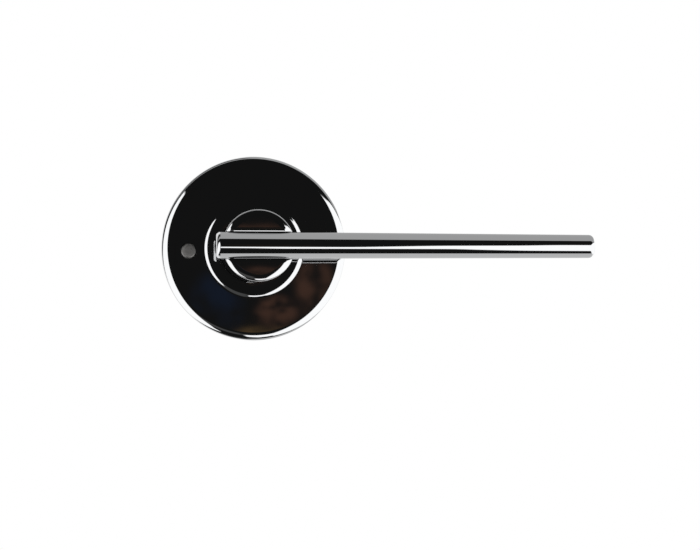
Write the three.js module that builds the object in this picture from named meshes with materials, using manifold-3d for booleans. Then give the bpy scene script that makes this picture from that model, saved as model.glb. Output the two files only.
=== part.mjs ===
// Door lever handle on a round rose, with a privacy push-button: one side of a door set.
//
// Each piece is drawn in millimetres in the handle's own frame: x along the lever, y up, z straight out of the door.
// z = 0 is the door's face, and the z axis is the spindle's. The exported group turns that frame so that Z is up
// and the handle faces -Y.

import * as THREE from "three";
import { mergeVertices } from "three/addons/utils/BufferGeometryUtils.js";
import Module from "manifold-3d";

const wasm = await Module();
wasm.setup();

// ---- Driving dimensions ----------------------------------------------------------------------------------------

const gap = 0.3; // clearance kept between neighbouring pieces
const fine = 60; // segments round a large turned piece
const medium = 28;
const small = 20;

const rose = {
  radius: 35,
  wall: 1.2,
  face: 11, // height of the flat face over the door
  rim: 0.2, // height of the open edge over the door
  crownStart: 32, // the face falls away from here on a large arc, which ends in a fillet at the wall
  crown: 8.85,
  fillet: 1.49,
  insideWidth: 1.4, // the rounded corner inside, across and down
  insideDepth: 0.75,
  bossRise: 0.25,
  bossInner: 17.1, // where the pressed step ends on the boss, and where it starts on the face
  bossOuter: 19.3,
};
const ceiling = rose.face - rose.wall;
const bossFace = rose.face + rose.bossRise;
const bossCeiling = bossFace - rose.wall;

const bar = { height: 46, start: -15.5, end: 123.2, startRadius: 4.92, endRadius: 4.25, startFillet: 1.5, endFillet: 1.9 };
const hub = { radius: 13.05, foot: 9.6, face: bar.height + 0.3, crownStart: 10.37, crown: 12.5, fillet: 0.68 };
const shank = { radius: 8, end: -1.2 };

const spindle = { side: 8, from: -66, to: 24, chamfer: 0.6 };
const socket = { side: spindle.side + gap, floor: 30.5 };
const barScrew = { radius: 2, headRadius: 3.5, headHeight: 3.7, end: 47, hexAcross: 3, hexDepth: 2 };
const grubScrew = { radius: 2.5, height: 18, length: 6.9, hexAcross: 2.5, hexDepth: 2.5 };

const plate = { radius: 32.4, thickness: 3, bore: 9.6, towerRadius: 11.3, towerTop: 6.6 };
const recess = { radius: 12, depth: 2.2 }; // in the plate's back, for the washer and the circlip
const pocket = { inner: 15, outer: 26.5, depth: 1.4, from: 26, to: 64 }; // lightening pockets in the back
const circlip = { inner: 7.7, outer: 10.8, from: 0.2, thickness: 1, groove: 7.4, opening: 50 };
const waveWasher = { inner: 8.4, outer: 11.4, from: 1.5, thickness: 0.4 };

const leverTravel = 50; // degrees, downwards
const driver = { radius: 12.3, from: 7.9, thickness: 1.2, fingerEnd: 18.6, fingerWidth: 4, angle: 115 };
const tab = { inner: 13.6, outer: 15.2, width: 3, bottom: 5.6 };
const dog = { outer: 10.6, width: 4 }; // keys under the hub that turn the driver
const stopPost = { inner: 16.2, outer: 19, width: 3.5, top: 9 };
const anchorPost = { inner: 14.4, outer: 17.2, width: 3, top: 6 };
const returnSpring = {
  radius: 12.5,
  wire: 0.8,
  bottom: 4.1,
  top: 6.7,
  bend: 1.3,
  fixedAngle: 225,
  fixedEnd: 16.3,
  movingEnd: 15.3,
  extraTurns: 1,
};

const bolt = { pitch: 38, radius: 2, headRadius: 3.75, end: -42, holeRadius: 2.4, recessDepth: 1.2 };
const clip = { angles: [30, 150, 270], width: 8, thickness: 0.6, web: 33.5, topLeg: 26.5, backLeg: 28.5 };

const button = { x: -24.8, y: -1.08, radius: 2.74, travel: 2.5, edge: 0.4, shoulder: 4.6, stem: 3, stemEnd: 4.5 };
button.top = rose.face + button.travel; // pressed, it is flush with the rose
button.shoulderTop = ceiling - gap - 0.1;
button.shoulderBottom = button.shoulderTop - 1.1;
const privacyPin = { radius: 1.5, from: 7.5, to: -26, tip: 1 };
const guide = { outer: 5.8, inner: 4.9, floorTop: 1.2, flange: 7.2, flangeThickness: 1 };
const buttonSpring = { radius: 4.05, wire: 0.3, turns: 5 };

// ---- Materials -------------------------------------------------------------------------------------------------

const finish = (color, metalness, roughness) => new THREE.MeshStandardMaterial({ color, metalness, roughness });
const chrome = () => finish(0xd4d6d8, 1, 0.05);
const satinNickel = () => finish(0x8e8b88, 1, 0.38);
const zincCast = () => finish(0xa9abac, 1, 0.5);
const platedSteel = () => finish(0xb9bab4, 1, 0.3);
const springSteel = () => finish(0x77787a, 1, 0.35);
const blackSteel = () => finish(0x1d1d1e, 0.8, 0.45);
const acetal = () => finish(0xe4e2da, 0, 0.45);

// ---- Shape helpers ---------------------------------------------------------------------------------------------

// A closed geometry as a manifold-3d solid.
function solid(geometry) {
  const bare = geometry.index ? geometry.toNonIndexed() : geometry.clone();
  bare.deleteAttribute("normal");
  bare.deleteAttribute("uv");
  const merged = mergeVertices(bare, 1e-4);
  return new wasm.Manifold(
    new wasm.Mesh({
      numProp: 3,
      vertProperties: merged.attributes.position.array,
      triVerts: new Uint32Array(merged.index.array),
    }),
  );
}

// A manifold-3d solid as a three.js geometry.
function geometryOf(made) {
  const mesh = made.getMesh();
  const geometry = new THREE.BufferGeometry();
  geometry.setAttribute("position", new THREE.BufferAttribute(new Float32Array(mesh.vertProperties), 3));
  geometry.setIndex(new THREE.BufferAttribute(new Uint32Array(mesh.triVerts), 1));
  geometry.computeVertexNormals();
  return geometry;
}

// Solids built up from one geometry: others joined to it, or cut from it.
const joined = (first, ...others) => others.reduce((made, other) => made.add(solid(other)), solid(first));
const cut = (made, ...others) => others.reduce((left, other) => left.subtract(solid(other)), made);

// A profile of [radius, height] points or Vector2s, turned about the z axis.
function turned(profile, segments) {
  const points = profile.map((p) => (p.isVector2 ? p : new THREE.Vector2(...p)));
  return new THREE.LatheGeometry(points, segments).rotateX(Math.PI / 2);
}

// The closed profile of a plain ring.
const ringProfile = (inner, outer, from, to) => [
  [inner, from],
  [outer, from],
  [outer, to],
  [inner, to],
  [inner, from],
];

// A solid cylinder about z.
const rod = (radius, from, to, segments) => turned([[0, from], [radius, from], [radius, to], [0, to]], segments);

// A hexagonal prism along z.
const hexPrism = (across, from, to) => rod(across / Math.sqrt(3), from, to, 6);

const box = (x0, x1, y0, y1, z0, z1) =>
  new THREE.BoxGeometry(x1 - x0, y1 - y0, z1 - z0).translate((x0 + x1) / 2, (y0 + y1) / 2, (z0 + z1) / 2);

// A box lying along a radius at an angle round the z axis.
const radialBox = (angle, inner, outer, width, z0, z1) =>
  box(inner, outer, -width / 2, width / 2, z0, z1).rotateZ(THREE.MathUtils.degToRad(angle));

// A plate in the shape of a ring's sector, lying between two heights.
function sector(inner, outer, fromAngle, toAngle, z0, z1) {
  const [start, end] = [fromAngle, toAngle].map(THREE.MathUtils.degToRad);
  const shape = new THREE.Shape();
  shape.absarc(0, 0, outer, start, end, false);
  shape.absarc(0, 0, inner, end, start, true);
  shape.closePath();
  return new THREE.ExtrudeGeometry(shape, { depth: z1 - z0, bevelEnabled: false, curveSegments: 14 }).translate(0, 0, z0);
}

const polar = (radius, angle, z) =>
  new THREE.Vector3(radius, 0, z).applyAxisAngle(new THREE.Vector3(0, 0, 1), THREE.MathUtils.degToRad(angle));

// The angle in degrees that a length takes up at a radius.
const spread = (length, radius) => THREE.MathUtils.radToDeg(length / radius);

// A round wire along a smooth line through the points.
function wire(points, radius, steps) {
  const section = new THREE.Shape().absarc(0, 0, radius, 0, 2 * Math.PI, false);
  const path = new THREE.CatmullRomCurve3(points, false, "centripetal");
  return new THREE.ExtrudeGeometry(section, { steps, extrudePath: path, curveSegments: 3, bevelEnabled: false });
}

// ---- The assembly ----------------------------------------------------------------------------------------------

const handle = new THREE.Group();
handle.rotation.x = Math.PI / 2;

function add(name, geometry, material) {
  const mesh = new THREE.Mesh(geometry, material);
  mesh.name = name;
  handle.add(mesh);
}

// A path's points, without the repeats where two arcs meet.
const pointsOf = (path, steps) =>
  path.getPoints(steps).filter((point, i, all) => i === 0 || point.distanceTo(all[i - 1]) > 1e-6);

// Takes a path up a straight wall and over its top edge: a fillet, then a large arc that levels out at crownStart.
function crownedEdge(path, { radius, face, crownStart, crown, fillet }) {
  const meet = Math.asin((radius - fillet - crownStart) / (crown - fillet));
  const centre = face - crown + (crown - fillet) * Math.cos(meet);
  path.lineTo(radius, centre);
  path.absarc(radius - fillet, centre, fillet, 0, Math.PI / 2 - meet, false);
  path.absarc(crownStart, face - crown, crown, Math.PI / 2 - meet, Math.PI / 2, false);
}

// ---- Rose: the pressed cover, the collar in it and the clips that hold it --------------------------------------

const collar = { inner: hub.radius + gap, outer: hub.radius + gap + 1.05, top: bossFace, flange: 15.8 };

// The shell's line from its open edge up and in to the hub's hole, then back along the inside.
function roseCoverProfile() {
  const { radius, wall, face, rim, insideWidth, insideDepth, bossInner, bossOuter } = rose;
  const hole = collar.outer + gap;
  const bend = (bossOuter - bossInner) * 0.45;
  const bendIn = wall / 2; // the inside of the step sits this much nearer the middle
  const inside = radius - wall - insideWidth;
  const path = new THREE.Path();
  path.moveTo(radius, rim);
  crownedEdge(path, rose);
  path.lineTo(bossOuter, face);
  path.bezierCurveTo(bossOuter - bend, face, bossInner + bend, bossFace, bossInner, bossFace);
  path.lineTo(hole, bossFace);
  path.lineTo(hole, bossCeiling);
  path.lineTo(bossInner - bendIn, bossCeiling);
  path.bezierCurveTo(
    bossInner - bendIn + bend, bossCeiling, bossOuter - bendIn - bend, ceiling, bossOuter - bendIn, ceiling,
  );
  path.lineTo(inside, ceiling);
  path.absellipse(inside, ceiling - insideDepth, insideWidth, insideDepth, Math.PI / 2, 0, true);
  path.lineTo(radius - wall, rim);
  path.closePath();
  return pointsOf(path, 3);
}

const buttonHole = rod(button.radius + gap, 0, bossFace, medium).translate(button.x, button.y, 0);
add("rose_cover", geometryOf(cut(solid(turned(roseCoverProfile(), fine)), buttonHole)), chrome());

const collarProfile = [
  [collar.inner, driver.from + driver.thickness + gap],
  [collar.flange, driver.from + driver.thickness + gap],
  [collar.flange, bossCeiling - gap],
  [collar.outer, bossCeiling - gap],
  [collar.outer, collar.top],
  [collar.inner, collar.top],
  [collar.inner, driver.from + driver.thickness + gap],
];
add("neck_bush", turned(collarProfile, fine), chrome());

// A U of spring strip over the plate's edge, which grips the inside of the cover.
function clipGeometry(angle) {
  const { width, thickness, web, topLeg, backLeg } = clip;
  const top = plate.thickness + gap + thickness;
  const outline = new THREE.Shape();
  outline.moveTo(topLeg, top - thickness);
  outline.lineTo(web - thickness, top - thickness);
  outline.lineTo(web - thickness, gap + thickness);
  outline.lineTo(backLeg, gap + thickness);
  outline.lineTo(backLeg, gap);
  outline.lineTo(web, gap);
  outline.lineTo(web, top);
  outline.lineTo(topLeg, top);
  outline.closePath();
  return new THREE.ExtrudeGeometry(outline, { depth: width, bevelEnabled: false })
    .translate(0, 0, -width / 2)
    .rotateX(Math.PI / 2)
    .rotateZ(THREE.MathUtils.degToRad(angle));
}
clip.angles.forEach((angle, i) => add(`cover_clip_${i + 1}`, clipGeometry(angle), springSteel()));

// ---- Mounting plate: the cast part behind the cover ------------------------------------------------------------

// The driver's finger meets a post at each end of the lever's travel.
const fingerToPost = spread((driver.fingerWidth + stopPost.width) / 2 + gap, (stopPost.inner + stopPost.outer) / 2);
const stopAngles = [driver.angle + fingerToPost, driver.angle - leverTravel - fingerToPost];
const anchorAngle =
  returnSpring.fixedAngle - spread(returnSpring.wire + gap + anchorPost.width / 2, anchorPost.inner);

const plateProfile = [
  [plate.bore, recess.depth],
  [recess.radius, recess.depth],
  [recess.radius, 0],
  [plate.radius, 0],
  [plate.radius, plate.thickness],
  [plate.towerRadius, plate.thickness],
  [plate.towerRadius, plate.towerTop],
  [plate.bore, plate.towerTop],
  [plate.bore, recess.depth],
];

const boltCentres = [bolt.pitch / 2, -bolt.pitch / 2];
const boltHeadDepth = bolt.headRadius - bolt.radius; // a 90 degree countersunk head
const boltHoleProfile = [
  [0, -1],
  [bolt.holeRadius, -1],
  [bolt.holeRadius, plate.thickness - boltHeadDepth],
  [bolt.holeRadius + boltHeadDepth + 1, plate.thickness + 1],
  [0, plate.thickness + 1],
];

function mountingPlate() {
  const root = plate.thickness - 0.5; // the posts are rooted in the plate
  const stops = stopAngles.map((angle) =>
    radialBox(angle, stopPost.inner, stopPost.outer, stopPost.width, root, stopPost.top),
  );
  const anchor = radialBox(anchorAngle, anchorPost.inner, anchorPost.outer, anchorPost.width, root, anchorPost.top);
  const boltHoles = boltCentres.map((y) => turned(boltHoleProfile, medium).translate(0, y, 0));
  const guideHole = rod(guide.outer + gap, -1, plate.thickness + 1, medium).translate(button.x, button.y, 0);
  const clipNotches = clip.angles.map((angle) =>
    radialBox(angle, clip.backLeg - gap, plate.radius + 1, clip.width + 2 * gap, -1, clip.thickness + 2 * gap),
  );
  const pockets = [0, 90, 180, 270].map((turn) =>
    sector(pocket.inner, pocket.outer, turn + pocket.from, turn + pocket.to, -1, pocket.depth),
  );
  return cut(
    joined(turned(plateProfile, fine), ...stops, anchor),
    ...boltHoles,
    guideHole,
    ...clipNotches,
    ...pockets,
  );
}
add("mounting_plate", geometryOf(mountingPlate()), zincCast());

// The plastic bearing in the plate's tower.
const bearingProfile = [
  [shank.radius + gap, recess.depth + gap],
  [plate.bore - gap, recess.depth + gap],
  [plate.bore - gap, plate.towerTop + gap],
  [plate.towerRadius - 0.1, plate.towerTop + gap],
  [plate.towerRadius - 0.1, driver.from - gap],
  [shank.radius + gap, driver.from - gap],
  [shank.radius + gap, recess.depth + gap],
];
add("plate_bush", turned(bearingProfile, medium), acetal());

// ---- Through bolts ---------------------------------------------------------------------------------------------

// A countersunk machine screw with a cross recess.
function boltGeometry(y) {
  const top = plate.thickness;
  const { radius, end, headRadius, recessDepth } = bolt;
  const profile = [
    [0, end],
    [radius - 0.4, end],
    [radius, end + 0.4],
    [radius, top - boltHeadDepth],
    [headRadius, top],
    [0, top],
  ];
  const long = 1.9; // half length and half width of the cross's arms
  const narrow = 0.45;
  const arms = [
    box(-long, long, -narrow, narrow, top - recessDepth, top + 1),
    box(-narrow, narrow, -long, long, top - recessDepth, top + 1),
  ];
  return geometryOf(cut(solid(turned(profile, small)), ...arms)).translate(0, y, 0);
}
["fixing_bolt_upper", "fixing_bolt_lower"].forEach((name, i) => add(name, boltGeometry(boltCentres[i]), platedSteel()));

// ---- Return spring and its driver ------------------------------------------------------------------------------

const driverTop = driver.from + driver.thickness;

// A stamped ring, keyed to the hub, with a finger between the stop posts and a bent tab on the spring.
function springDriver() {
  const ring = turned(ringProfile(shank.radius + gap, driver.radius, driver.from, driverTop), medium);
  const finger = radialBox(driver.angle, driver.radius - 1, driver.fingerEnd, driver.fingerWidth, driver.from, driverTop);
  const bentTab = radialBox(driver.angle, tab.inner, tab.outer, tab.width, tab.bottom, driver.from + 0.2);
  const keyways = [0, 180].map((angle) =>
    radialBox(angle, shank.radius - 1, dog.outer + gap, dog.width + 2 * gap, driver.from - 1, driverTop + 1),
  );
  return cut(joined(ring, finger, bentTab), ...keyways);
}
add("spring_driver", geometryOf(springDriver()), platedSteel());

// A leg against the anchor post, the coil clockwise round the tower, and a leg against the driver's tab.
function returnSpringPoints() {
  const { radius, bottom, top, bend, fixedAngle, fixedEnd, movingEnd, extraTurns } = returnSpring;
  const movingAngle = driver.angle - spread(tab.width / 2 + gap + returnSpring.wire, tab.inner);
  const turnedThrough = fixedAngle - movingAngle + 360 * extraTurns;
  const part = bend * (1 - Math.SQRT1_2); // offset of the middle of each bend from its two sides
  const steps = Math.round(turnedThrough / 24);
  const points = [
    polar(fixedEnd, fixedAngle, bottom),
    polar(radius + bend, fixedAngle, bottom),
    polar(radius + part, fixedAngle - spread(part, radius), bottom),
  ];
  for (let i = 0; i <= steps; i++) {
    const share = i / steps;
    const angle = fixedAngle - spread(bend, radius) - share * (turnedThrough - 2 * spread(bend, radius));
    points.push(polar(radius, angle, bottom + share * (top - bottom)));
  }
  points.push(
    polar(radius + part, movingAngle + spread(part, radius), top),
    polar(radius + bend, movingAngle, top),
    polar(movingEnd, movingAngle, top),
  );
  return points;
}
add("return_spring", wire(returnSpringPoints(), returnSpring.wire, 84), springSteel());

// ---- Washer and circlip behind the plate -----------------------------------------------------------------------

const washerTop = waveWasher.from + waveWasher.thickness;
const washerProfile = ringProfile(waveWasher.inner, waveWasher.outer, waveWasher.from, washerTop);
add("wave_washer", turned(washerProfile, medium), springSteel());

// An open ring with a drilled lug at each end, for the pliers.
function circlipSolid() {
  const { inner, outer, from, thickness, opening } = circlip;
  const ends = [opening / 2 - 90, 270 - opening / 2];
  const top = from + thickness;
  const atEnd = (angle) => polar((inner + outer) / 2, angle, 0);
  const lugs = ends.map((angle) => rod((outer - inner) / 2, from, top, small).translate(...atEnd(angle)));
  const holes = ends.map((angle) => rod(0.7, from - 1, top + 1, small).translate(...atEnd(angle)));
  return cut(joined(sector(inner, outer, ...ends, from, top), ...lugs), ...holes);
}
add("circlip", geometryOf(circlipSolid()), springSteel());

// ---- Lever: neck, bar, screws and spindle ----------------------------------------------------------------------

const barRadius = (x) => THREE.MathUtils.mapLinear(x, bar.start, bar.end, bar.startRadius, bar.endRadius);

function neckProfile() {
  const grooveFrom = circlip.from - gap;
  const grooveTo = circlip.from + circlip.thickness + gap;
  const path = new THREE.Path();
  path.moveTo(0, shank.end);
  path.lineTo(shank.radius, shank.end);
  path.lineTo(shank.radius, grooveFrom);
  path.lineTo(circlip.groove, grooveFrom);
  path.lineTo(circlip.groove, grooveTo);
  path.lineTo(shank.radius, grooveTo);
  path.lineTo(shank.radius, hub.foot);
  path.lineTo(hub.radius, hub.foot);
  crownedEdge(path, hub);
  path.lineTo(0, hub.face);
  return pointsOf(path, 4);
}

// The neck has a saddle across its face for the bar, and a square socket for the spindle up its middle.
function leverNeck() {
  const half = socket.side / 2;
  const saddle = barRadius(-hub.radius) + gap;
  const beyond = hub.radius + 2;
  const channel = rod(saddle, -beyond, beyond, medium).rotateY(Math.PI / 2).translate(0, 0, bar.height);
  const channelMouth = box(-beyond, beyond, -saddle, saddle, bar.height, hub.face + 1);
  const squareHole = box(-half, half, -half, half, shank.end - 1, socket.floor);
  const screwHole = rod(barScrew.radius + gap, socket.floor - 1, bar.height, small);
  const grubHole = rod(grubScrew.radius + gap, spindle.side / 2 - 1, beyond, small)
    .rotateX(Math.PI / 2)
    .translate(0, 0, grubScrew.height);
  const dogs = [0, 180].map((angle) =>
    radialBox(angle, shank.radius - 1, dog.outer, dog.width, driver.from + 0.2, hub.foot + 0.5),
  );
  return cut(joined(turned(neckProfile(), fine), ...dogs), channel, channelMouth, squareHole, screwHole, grubHole);
}
add("lever_neck", geometryOf(leverNeck()), chrome());

// The bar tapers to its free end, has both ends rounded, and is tapped from the back for the screw.
function leverBar() {
  const { start, end, startRadius, endRadius, startFillet, endFillet, height } = bar;
  const path = new THREE.Path();
  path.moveTo(0, start);
  path.lineTo(startRadius - startFillet, start);
  path.absarc(startRadius - startFillet, start + startFillet, startFillet, -Math.PI / 2, 0, false);
  path.absarc(endRadius - endFillet, end - endFillet, endFillet, 0, Math.PI / 2, false);
  path.lineTo(0, end);
  const body = turned(path.getPoints(5), medium).rotateY(Math.PI / 2).translate(0, 0, height);
  const tapped = rod(barScrew.radius + gap, height - startRadius - 1, barScrew.end + gap, small);
  return cut(solid(body), tapped);
}
add("lever_bar", geometryOf(leverBar()), chrome());

function barScrewSolid() {
  const { radius, headRadius, headHeight, end, hexAcross, hexDepth } = barScrew;
  const headTop = socket.floor - gap;
  const headFoot = headTop - headHeight;
  const profile = [
    [0, headFoot],
    [headRadius - 0.4, headFoot],
    [headRadius, headFoot + 0.4],
    [headRadius, headTop],
    [radius, headTop],
    [radius, end],
    [0, end],
  ];
  return cut(solid(turned(profile, small)), hexPrism(hexAcross, headFoot - 1, headFoot + hexDepth));
}
add("bar_screw", geometryOf(barScrewSolid()), blackSteel());

function spindleGeometry() {
  const { side, from, to, chamfer } = spindle;
  const corner = side / Math.SQRT2; // a square rod is a four-sided turning
  const nose = corner - chamfer * Math.SQRT2;
  const profile = [
    [0, from],
    [nose, from],
    [corner, from + chamfer],
    [corner, to - chamfer],
    [nose, to],
    [0, to],
  ];
  return turned(profile, 4).rotateZ(Math.PI / 4);
}
add("spindle", spindleGeometry(), platedSteel());

function grubScrewGeometry() {
  const { radius, height, length, hexAcross, hexDepth } = grubScrew;
  const point = spindle.side / 2 + gap;
  const end = point + length;
  const profile = [
    [0, point],
    [radius - 0.7, point],
    [radius, point + 0.7],
    [radius, end],
    [0, end],
  ];
  return geometryOf(cut(solid(turned(profile, small)), hexPrism(hexAcross, end - hexDepth, end + 1)))
    .rotateX(Math.PI / 2)
    .translate(0, 0, height);
}
add("spindle_grub_screw", grubScrewGeometry(), blackSteel());

// ---- Privacy button: the button, its pin, its guide and its spring ---------------------------------------------

const atButton = (geometry) => geometry.translate(button.x, button.y, 0);

function privacyButton() {
  const { radius, edge, top, shoulder, shoulderTop, shoulderBottom, stem, stemEnd } = button;
  const path = new THREE.Path();
  path.moveTo(0, privacyPin.from + gap);
  path.lineTo(privacyPin.radius + gap, privacyPin.from + gap);
  path.lineTo(privacyPin.radius + gap, stemEnd);
  path.lineTo(stem, stemEnd);
  path.lineTo(stem, shoulderBottom);
  path.lineTo(shoulder, shoulderBottom);
  path.lineTo(shoulder, shoulderTop);
  path.lineTo(radius, shoulderTop);
  path.absarc(radius - edge, top - edge, edge, 0, Math.PI / 2, false);
  path.lineTo(0, top);
  return atButton(turned(path.getPoints(3), medium));
}
add("privacy_button", privacyButton(), satinNickel());

const pinProfile = [
  [0, privacyPin.to],
  [privacyPin.radius / 2, privacyPin.to],
  [privacyPin.radius, privacyPin.to + privacyPin.tip],
  [privacyPin.radius, privacyPin.from],
  [0, privacyPin.from],
];
add("privacy_pin", atButton(turned(pinProfile, small)), platedSteel());

// A cup through the plate, held by a flange on its front.
const guideProfile = [
  [privacyPin.radius + gap, gap],
  [guide.outer, gap],
  [guide.outer, plate.thickness + gap],
  [guide.flange, plate.thickness + gap],
  [guide.flange, plate.thickness + gap + guide.flangeThickness],
  [guide.outer, plate.thickness + gap + guide.flangeThickness],
  [guide.outer, ceiling - gap],
  [guide.inner, ceiling - gap],
  [guide.inner, guide.floorTop],
  [privacyPin.radius + gap, guide.floorTop],
  [privacyPin.radius + gap, gap],
];
add("button_guide", atButton(turned(guideProfile, medium)), acetal());

function buttonSpringGeometry() {
  const { radius, wire: thickness, turns } = buttonSpring;
  const bottom = guide.floorTop + gap + thickness;
  const top = button.shoulderBottom - gap - thickness;
  const steps = turns * 10;
  const points = [];
  for (let i = 0; i <= steps; i++) {
    const share = i / steps;
    points.push(polar(radius, 360 * turns * share, bottom + share * (top - bottom)));
  }
  return atButton(wire(points, thickness, turns * 12));
}
add("button_spring", buttonSpringGeometry(), springSteel());

export default handle;
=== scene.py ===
"""A chromed door lever on a round rose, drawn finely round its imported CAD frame.

Shapes are written in millimetres in the handle's own frame, as the CAD is: x along the lever, y up, z out
of the door. finish_piece() turns that into the row's frame, in metres, where Z is up and the handle faces -Y.
"""

import math

import bmesh
import bpy
from mathutils import Matrix, Vector


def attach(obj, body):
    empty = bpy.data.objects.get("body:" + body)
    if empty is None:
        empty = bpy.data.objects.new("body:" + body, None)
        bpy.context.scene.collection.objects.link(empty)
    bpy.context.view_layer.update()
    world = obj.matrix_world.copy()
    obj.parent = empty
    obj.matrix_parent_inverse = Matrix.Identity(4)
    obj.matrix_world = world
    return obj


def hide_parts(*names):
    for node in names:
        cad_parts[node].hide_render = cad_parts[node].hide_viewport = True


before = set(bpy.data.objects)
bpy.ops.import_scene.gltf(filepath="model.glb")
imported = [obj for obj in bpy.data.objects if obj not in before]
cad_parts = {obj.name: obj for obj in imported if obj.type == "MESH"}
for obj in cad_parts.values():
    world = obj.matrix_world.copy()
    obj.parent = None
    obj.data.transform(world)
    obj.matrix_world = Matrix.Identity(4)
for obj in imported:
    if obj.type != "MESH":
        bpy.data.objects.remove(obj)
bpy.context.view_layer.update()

MM = 0.001
FINE = 256  # segments round a large turned piece
MEDIUM = 128
SMALL = 64
TO_ROW = Matrix(((MM, 0, 0, 0), (0, 0, -MM, 0), (0, MM, 0, 0), (0, 0, 0, 1)))
ALONG_X = Matrix.Rotation(math.pi / 2, 4, "Y")

# ---- Sizes, in millimetres -----------------------------------------------------------------------

ROSE_RADIUS = 35
ROSE_FACE = 11
ROSE_WALL = 1.2
ROSE_RIM = 0.2
ROSE_CROWN_START = 32  # the face falls away from here, on a large arc that meets the edge's fillet
ROSE_CROWN = 8.85
ROSE_FILLET = 1.49
BOSS_FACE = 11.18
BOSS_CROWN = 0.06  # how much higher the raised centre is at the collar than at its step
BOSS_INNER = 17.1
BOSS_OUTER = 19.3

COLLAR_INNER = 13.15
COLLAR_OUTER = 14.2

HUB_RADIUS = 13.05
HUB_FOOT = 9.6
HUB_FACE = 46.3
HUB_CROWN_START = 10.37
HUB_CROWN = 12.5
HUB_FILLET = 0.68
SADDLE_RADIUS = 5.02
LIP_WIDTH = 1.3
LIP_CROWN = 6.9
SHANK_RADIUS = 8
SHANK_END = -1.2
GROOVE_RADIUS = 7.4

BAR_HEIGHT = 46
BAR_START = -15.5
BAR_END = 123.2
BAR_START_RADIUS = 4.92
BAR_END_RADIUS = 4.25
BAR_START_FILLET = 1.5
BAR_END_FILLET = 1.9

PLATE_RADIUS = 32.4
PLATE_THICKNESS = 3
BOLT_Y = 19
CLIP_ANGLES = (30, 150, 270)
GRUB_HEIGHT = 18
M4_RADIUS = 2
M4_PITCH = 0.7

BUTTON_X = -24.8
BUTTON_Y = -1.08
BUTTON_RADIUS = 2.66
BUTTON_HOLE = 2.87
BUTTON_TRAVEL = 2.5

GAP = 0.3  # between pieces that stand beside each other
LEVER_TRAVEL = 50  # degrees
DRIVER_ANGLE = 115  # where the driver's finger and tab stand at rest, in degrees
FINGER_WIDTH = 4
POST_WIDTH = 3.5
POST_INNER = 16.2
POST_OUTER = 19
TAB_WIDTH = 3
TAB_INNER = 13.6
ANCHOR_WIDTH = 3
ANCHOR_INNER = 14.4
ANCHOR_OUTER = 17.2
FIXED_LEG_ANGLE = 225  # the return spring's leg on the anchor post, in degrees
FIXED_LEG_END = 16.3
MOVING_LEG_END = 15.3
SPRING_WIRE = 0.8

# ---- Shapes --------------------------------------------------------------------------------------


def arc(centre_r, centre_z, width, depth, start, end, steps):
    """Points of a quarter ellipse or any part of one, in a profile's plane. Angles are in degrees."""
    angles = [math.radians(start + (end - start) * i / steps) for i in range(steps + 1)]
    return [(centre_r + width * math.cos(a), centre_z + depth * math.sin(a)) for a in angles]


def step_curve(start, end, bend, steps):
    """An S-shaped step between two profile points, level at both ends."""
    (r0, z0), (r3, z3) = start, end
    side = math.copysign(bend, r3 - r0)
    points = []
    for i in range(steps + 1):
        t = i / steps
        a, b, c, d = (1 - t) ** 3, 3 * t * (1 - t) ** 2, 3 * t * t * (1 - t), t**3
        across = a * r0 + b * (r0 + side) + c * (r3 - side) + d * r3
        points.append((across, (a + b) * z0 + (c + d) * z3))
    return points


def crowned_edge(outer, face, start, crown, fillet, steps=24):
    """A flat face's edge: a large arc that falls away from start, then a fillet down to a straight wall."""
    meet = math.asin((outer - fillet - start) / (crown - fillet))
    angle = math.degrees(meet)
    centre_z = face - crown + (crown - fillet) * math.cos(meet)
    fall = arc(start, face - crown, crown, crown, 90, 90 - angle, steps)
    return fall + arc(outer - fillet, centre_z, fillet, fillet, 90 - angle, 0, steps)[1:]


def filleted(corners, closed=False, step=9):
    """A line through corners (r, z, fillet radius), with each corner rounded by its radius."""
    count = len(corners)
    points = []
    for i, (r, z, radius) in enumerate(corners):
        here = Vector((r, z))
        if not radius or (not closed and i in (0, count - 1)):
            points.append((r, z))
            continue
        before = Vector(corners[i - 1][:2]) - here
        after = Vector(corners[(i + 1) % count][:2]) - here
        half = before.angle(after) / 2
        reach = radius / math.tan(half)
        centre = here + (before.normalized() + after.normalized()).normalized() * radius / math.sin(half)
        first = here + before.normalized() * reach - centre
        sweep = first.angle_signed(here + after.normalized() * reach - centre)
        steps = max(2, round(math.degrees(abs(sweep)) / step))
        for k in range(steps + 1):
            turn = -sweep * k / steps
            x = first.x * math.cos(turn) - first.y * math.sin(turn)
            y = first.x * math.sin(turn) + first.y * math.cos(turn)
            points.append((centre.x + x, centre.y + y))
    return points


def new_piece(name, bm, matrix=None):
    """A linked object made from a bmesh in the handle's own frame."""
    bmesh.ops.recalc_face_normals(bm, faces=bm.faces)
    mesh = bpy.data.meshes.new(name)
    if matrix:
        bmesh.ops.transform(bm, matrix=matrix, verts=bm.verts)
    bm.to_mesh(mesh)
    bm.free()
    piece = bpy.data.objects.new(name, mesh)
    bpy.context.scene.collection.objects.link(piece)
    return piece


def turned(name, profile, segments=MEDIUM, matrix=None):
    """A profile of (radius, height) turned about z, closed on itself unless its ends are on the axis."""
    bm = bmesh.new()
    rings = []
    for r, z in profile:
        if r < 1e-6:
            rings.append([bm.verts.new((0, 0, z))])
            continue
        angles = [2 * math.pi * k / segments for k in range(segments)]
        rings.append([bm.verts.new((r * math.cos(a), r * math.sin(a), z)) for a in angles])
    pairs = list(zip(rings, rings[1:]))
    if len(rings[0]) > 1:
        pairs.append((rings[-1], rings[0]))
    for low, high in pairs:
        for k in range(segments):
            n = (k + 1) % segments
            corners = [low[k % len(low)], low[n % len(low)], high[n % len(high)], high[k % len(high)]]
            bm.faces.new(dict.fromkeys(corners))
    return new_piece(name, bm, matrix)


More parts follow.
